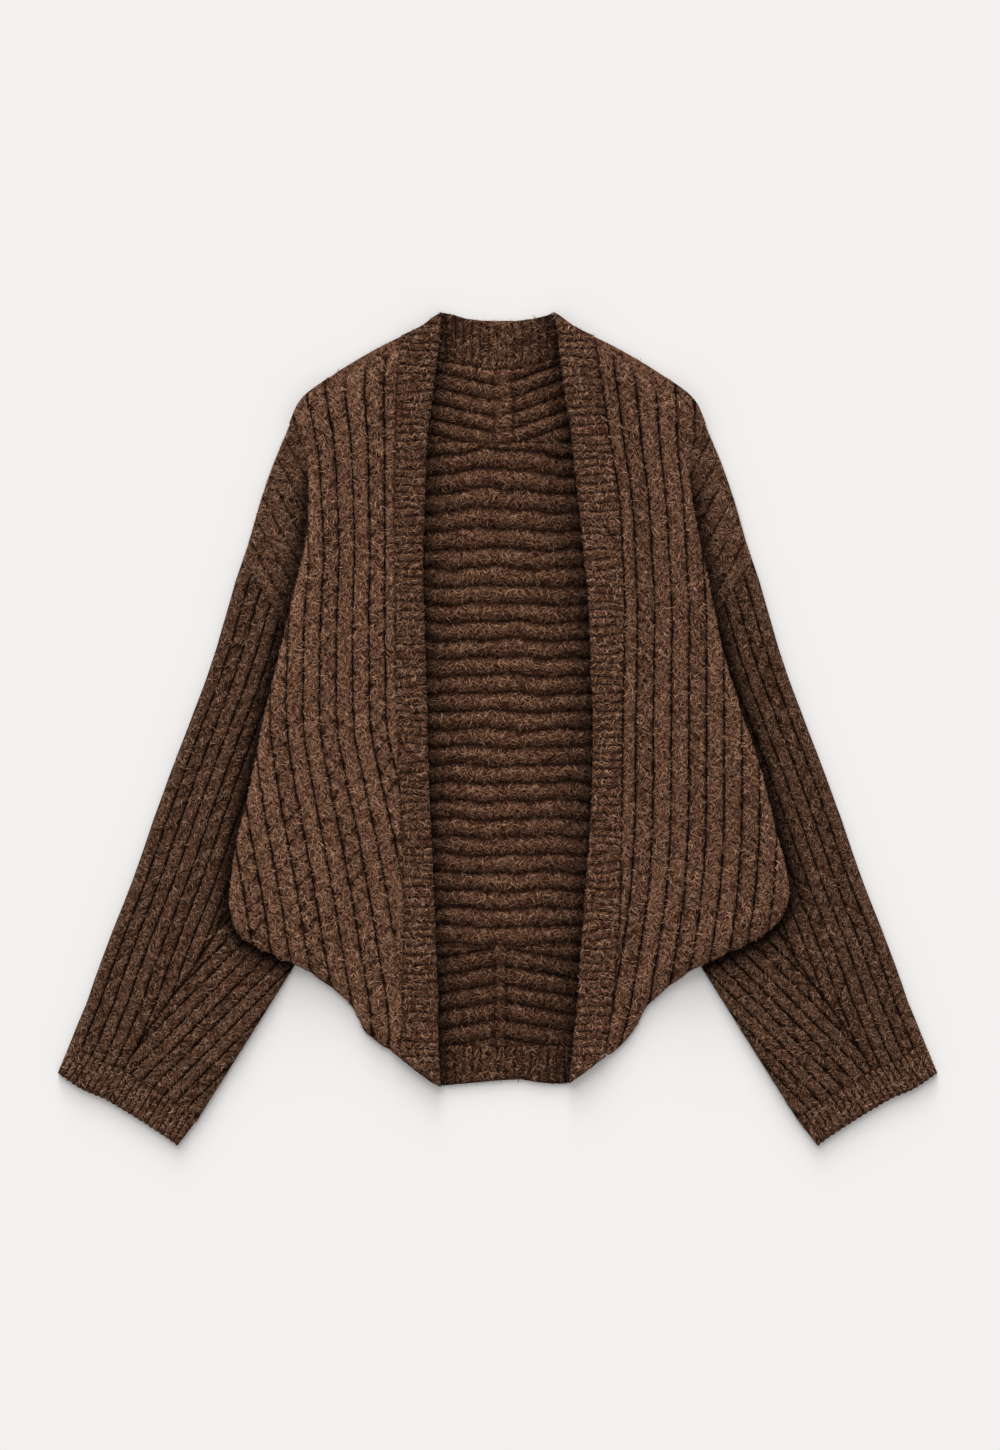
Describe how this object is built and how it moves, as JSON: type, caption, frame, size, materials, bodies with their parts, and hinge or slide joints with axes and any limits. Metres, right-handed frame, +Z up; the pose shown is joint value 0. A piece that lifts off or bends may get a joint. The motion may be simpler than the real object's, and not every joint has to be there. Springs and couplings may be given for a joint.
{
  "type": "cable knit cardigan",
  "caption": "Open-front cable knit cardigan with ribbed bands and long sleeves, laid flat on its back with its fronts apart.",
  "frame": {"origin": "centre of the plan box, on the surface that the garment lies on", "axes": "+X towards the sleeve on the right of the view from above, +Y towards the neck, +Z up out of the surface"},
  "size_m": [0.775, 0.7342, 0.0196],
  "materials": {
    "knit_front": "brushed",
    "knit_sleeve": "brushed",
    "knit_inside": "brushed",
    "knit_band": "brushed"
  },
  "bodies": {
    "root": {"back_panel": "knit_inside", "yoke_left": "knit_inside", "yoke_right": "knit_inside", "tail_left": "knit_inside", "tail_right": "knit_inside", "neck_band": "knit_band", "hem_band": "knit_band", "front_band_left": "knit_band", "front_band_right": "knit_band", "front_left": "knit_front", "front_right": "knit_front", "shoulder_left": "knit_sleeve", "shoulder_right": "knit_sleeve", "sleeve_left": "knit_sleeve", "sleeve_right": "knit_sleeve", "cuff_left": "knit_sleeve", "cuff_right": "knit_sleeve"}
  },
  "joints": []
}
